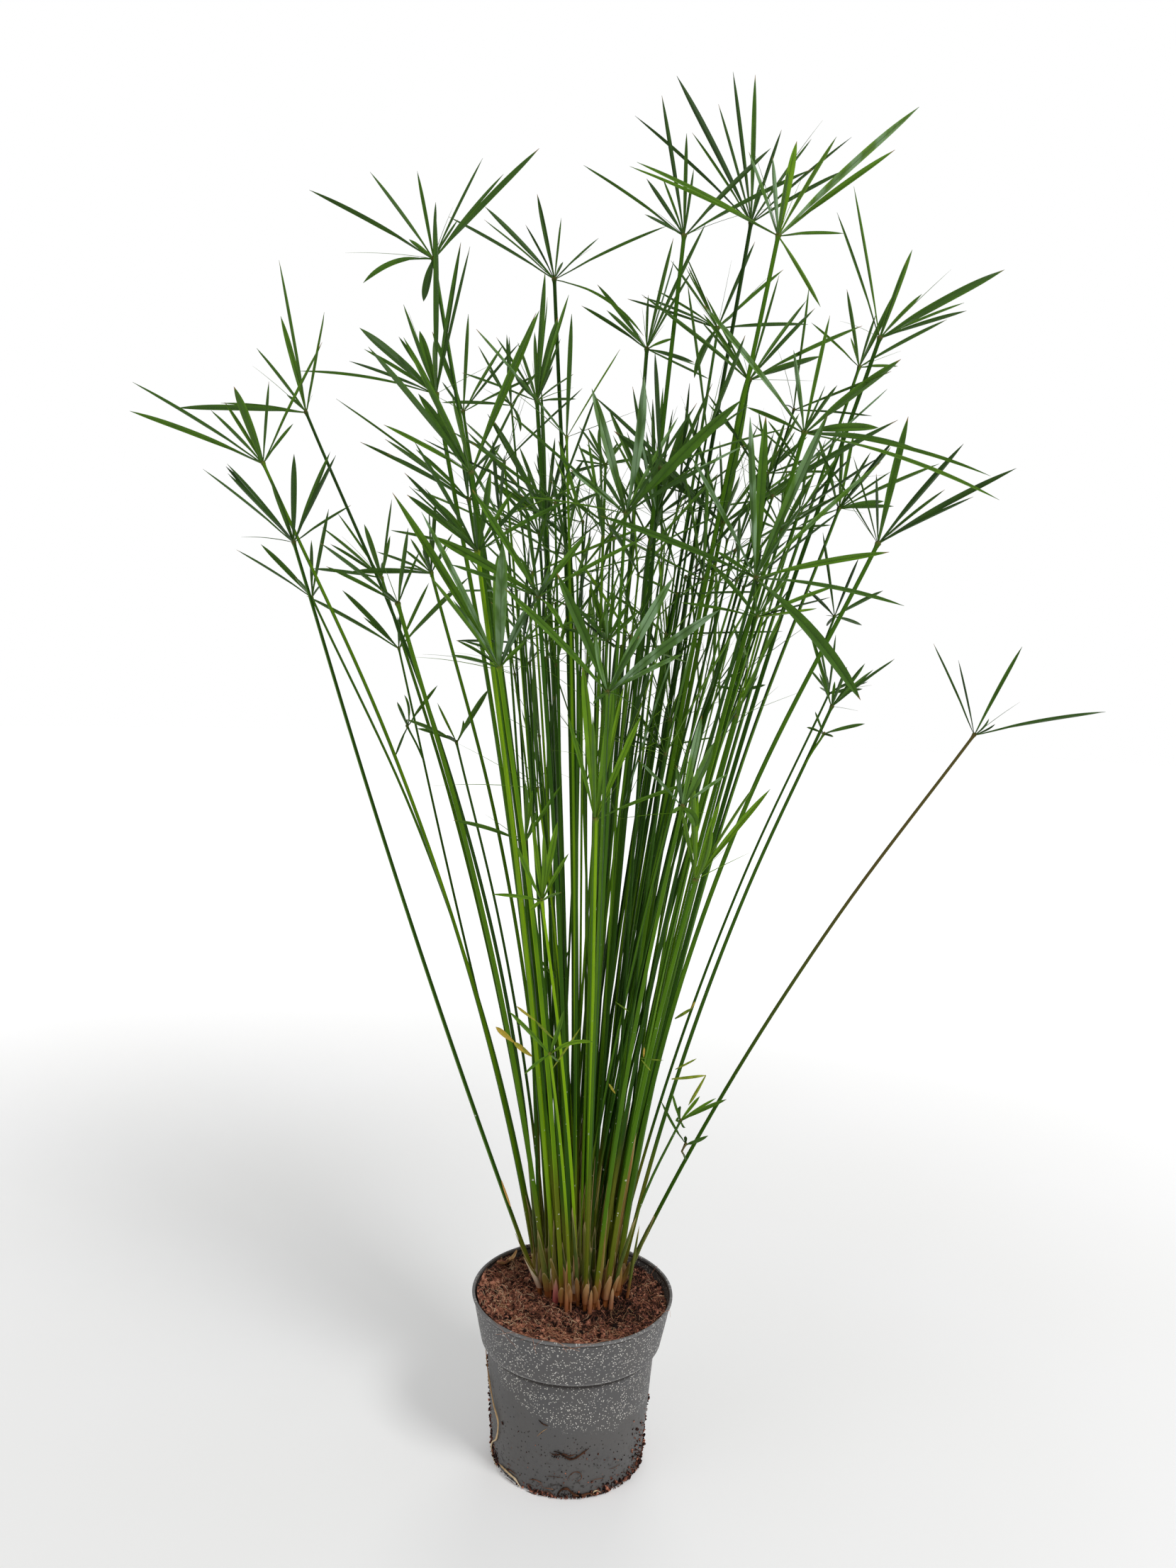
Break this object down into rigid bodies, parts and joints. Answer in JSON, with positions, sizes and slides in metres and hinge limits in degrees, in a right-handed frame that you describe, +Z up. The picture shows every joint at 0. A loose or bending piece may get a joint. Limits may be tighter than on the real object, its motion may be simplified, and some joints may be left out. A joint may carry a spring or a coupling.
{
  "type": "potted papyrus plant",
  "caption": "Round tapered nursery pot filled with coir soil, with a tall fan of papyrus stems, each topped by an umbrella whorl of narrow pointed leaves.",
  "frame": {"origin": "centre of the pot's flat underside", "axes": "+Z up along the pot's axis, -Y towards the front as pictured, +X to the right"},
  "size_m": [0.865, 0.5202, 1.3],
  "materials": {
    "pot": "matte recycled plastic with pale specks",
    "soil": "loose coir and peat",
    "leaf": "satin living leaf and stem",
    "bud": "satin pink sheath",
    "dry_leaf": "dry papery leaf"
  },
  "bodies": {
    "root": {"pot": "pot", "soil": "soil", "young_shoot": "bud", "dry_leaf": "dry_leaf", "shoot_left_01": "leaf", "shoot_left_02": "leaf", "shoot_left_03": "leaf", "shoot_left_04": "leaf", "shoot_left_05": "leaf", "shoot_left_06": "leaf", "shoot_left_07": "leaf", "shoot_left_08": "leaf", "shoot_left_09": "leaf", "shoot_crest_01": "leaf", "shoot_crest_02": "leaf", "shoot_crest_03": "leaf", "shoot_crest_04": "leaf", "shoot_crest_05": "leaf", "shoot_crest_06": "leaf", "shoot_crest_07": "leaf", "shoot_crest_08": "leaf", "shoot_crest_09": "leaf", "shoot_crest_10": "leaf", "shoot_crest_11": "leaf", "shoot_crest_12": "leaf", "shoot_crest_13": "leaf", "shoot_crest_14": "leaf", "shoot_crest_15": "leaf", "shoot_right_01": "leaf", "shoot_right_02": "leaf", "shoot_right_03": "leaf", "shoot_right_04": "leaf", "shoot_right_05": "leaf", "shoot_right_06": "leaf", "shoot_right_07": "leaf", "shoot_right_08": "leaf", "shoot_heart_01": "leaf", "shoot_heart_02": "leaf", "shoot_heart_03": "leaf", "shoot_heart_04": "leaf", "shoot_heart_05": "leaf", "shoot_heart_06": "leaf", "shoot_heart_07": "leaf", "shoot_heart_08": "leaf", "shoot_heart_09": "leaf", "shoot_heart_10": "leaf", "shoot_front_01": "leaf", "shoot_front_02": "leaf", "shoot_front_03": "leaf", "shoot_front_04": "leaf", "shoot_front_05": "leaf", "shoot_front_06": "leaf", "shoot_front_07": "leaf", "shoot_front_08": "leaf", "shoot_front_09": "leaf", "shoot_front_10": "leaf", "shoot_low_01": "leaf", "shoot_low_02": "leaf", "shoot_low_03": "leaf", "shoot_low_04": "leaf"}
  },
  "joints": []
}
